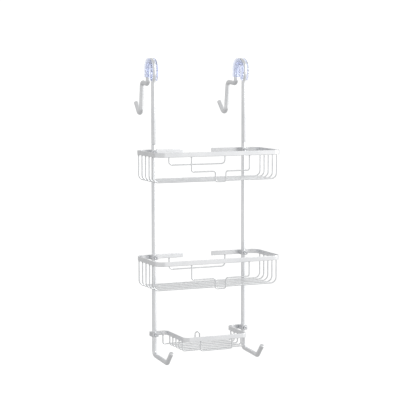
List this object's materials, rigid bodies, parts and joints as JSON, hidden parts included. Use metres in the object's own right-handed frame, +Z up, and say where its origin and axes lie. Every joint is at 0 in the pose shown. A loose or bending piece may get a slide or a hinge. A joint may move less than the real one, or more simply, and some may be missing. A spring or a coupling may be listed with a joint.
{
  "type": "over-door shower caddy",
  "caption": "Over-door shower caddy: round rods with clear-guarded door hooks, wire baskets and a soap dish clamped between them, and curved hooks at both ends.",
  "frame": {"origin": "middle of the door's top edge: midway between the two hooks, at the guards' inner top", "axes": "+Z up along the uprights, +X to the right, -Y to the front, where the baskets are"},
  "size_m": [0.3, 0.2471, 0.6723],
  "materials": {
    "satin_aluminium": "satin",
    "stainless_steel": "brushed",
    "clear_plastic": "clear, faintly blue, glossy"
  },
  "bodies": {
    "uprights": {"left_lower_rod": "satin_aluminium", "right_lower_rod": "satin_aluminium", "left_joint_stud": "stainless_steel", "right_joint_stud": "stainless_steel"},
    "left_hook": {"left_hook_rod": "satin_aluminium", "left_door_guard": "clear_plastic"},
    "right_hook": {"right_hook_rod": "satin_aluminium", "right_door_guard": "clear_plastic"},
    "upper_basket": {"upper_rim": "satin_aluminium", "upper_long_wire_1": "satin_aluminium", "upper_long_wire_2": "satin_aluminium", "upper_long_wire_3": "satin_aluminium", "upper_long_wire_4": "satin_aluminium", "upper_long_wire_5": "satin_aluminium", "upper_front_wire": "satin_aluminium", "upper_rear_wire": "satin_aluminium", "upper_left_clamp_block": "satin_aluminium", "upper_right_clamp_block": "satin_aluminium"},
    "lower_basket": {"lower_rim": "satin_aluminium", "lower_long_wire_1": "satin_aluminium", "lower_long_wire_2": "satin_aluminium", "lower_long_wire_3": "satin_aluminium", "lower_long_wire_4": "satin_aluminium", "lower_long_wire_5": "satin_aluminium", "lower_front_wire": "satin_aluminium", "lower_rear_wire": "satin_aluminium", "lower_left_clamp_block": "satin_aluminium", "lower_right_clamp_block": "satin_aluminium"},
    "soap_dish": {"dish_rim": "satin_aluminium", "dish_long_wire_1": "satin_aluminium", "dish_long_wire_2": "satin_aluminium", "dish_long_wire_3": "satin_aluminium", "dish_long_wire_4": "satin_aluminium", "dish_long_wire_5": "satin_aluminium", "dish_front_wire": "satin_aluminium", "dish_rear_wire": "satin_aluminium", "dish_loop": "satin_aluminium", "dish_left_clamp_block": "satin_aluminium", "dish_right_clamp_block": "satin_aluminium"},
    "upper_left_screw": {"upper_left_clamp_screw": "stainless_steel"},
    "upper_right_screw": {"upper_right_clamp_screw": "stainless_steel"},
    "lower_left_screw": {"lower_left_clamp_screw": "stainless_steel"},
    "lower_right_screw": {"lower_right_clamp_screw": "stainless_steel"},
    "dish_left_screw": {"dish_left_clamp_screw": "stainless_steel"},
    "dish_right_screw": {"dish_right_clamp_screw": "stainless_steel"}
  },
  "joints": [
    {"name": "left_hook_swivel", "type": "hinge", "parent": "uprights", "child": "left_hook", "pos_m": [-0.11, -0.016, -0.1772], "axis": [0, 0, 1], "range_deg": [-45, 45]},
    {"name": "right_hook_swivel", "type": "hinge", "parent": "uprights", "child": "right_hook", "pos_m": [0.11, -0.016, -0.1772], "axis": [0, 0, 1], "range_deg": [-45, 45]},
    {"name": "upper_basket_slide", "type": "slide", "parent": "uprights", "child": "upper_basket", "axis": [0, 0, 1], "range_m": [-0.08, 0.01]},
    {"name": "lower_basket_slide", "type": "slide", "parent": "uprights", "child": "lower_basket", "axis": [0, 0, 1], "range_m": [-0.05, 0.08]},
    {"name": "soap_dish_slide", "type": "slide", "parent": "uprights", "child": "soap_dish", "axis": [0, 0, 1], "range_m": [-0.02, 0.05]},
    {"name": "upper_left_screw_turn", "type": "hinge", "parent": "upper_basket", "child": "upper_left_screw", "pos_m": [-0.11, -0.016, -0.1942], "axis": [0, -1, 0], "range_deg": [0, 360]},
    {"name": "upper_right_screw_turn", "type": "hinge", "parent": "upper_basket", "child": "upper_right_screw", "pos_m": [0.11, -0.016, -0.1942], "axis": [0, -1, 0], "range_deg": [0, 360]},
    {"name": "lower_left_screw_turn", "type": "hinge", "parent": "lower_basket", "child": "lower_left_screw", "pos_m": [-0.11, -0.016, -0.4292], "axis": [0, -1, 0], "range_deg": [0, 360]},
    {"name": "lower_right_screw_turn", "type": "hinge", "parent": "lower_basket", "child": "lower_right_screw", "pos_m": [0.11, -0.016, -0.4292], "axis": [0, -1, 0], "range_deg": [0, 360]},
    {"name": "dish_left_screw_turn", "type": "hinge", "parent": "soap_dish", "child": "dish_left_screw", "pos_m": [-0.11, -0.016, -0.6032], "axis": [0, -1, 0], "range_deg": [0, 360]},
    {"name": "dish_right_screw_turn", "type": "hinge", "parent": "soap_dish", "child": "dish_right_screw", "pos_m": [0.11, -0.016, -0.6032], "axis": [0, -1, 0], "range_deg": [0, 360]}
  ]
}
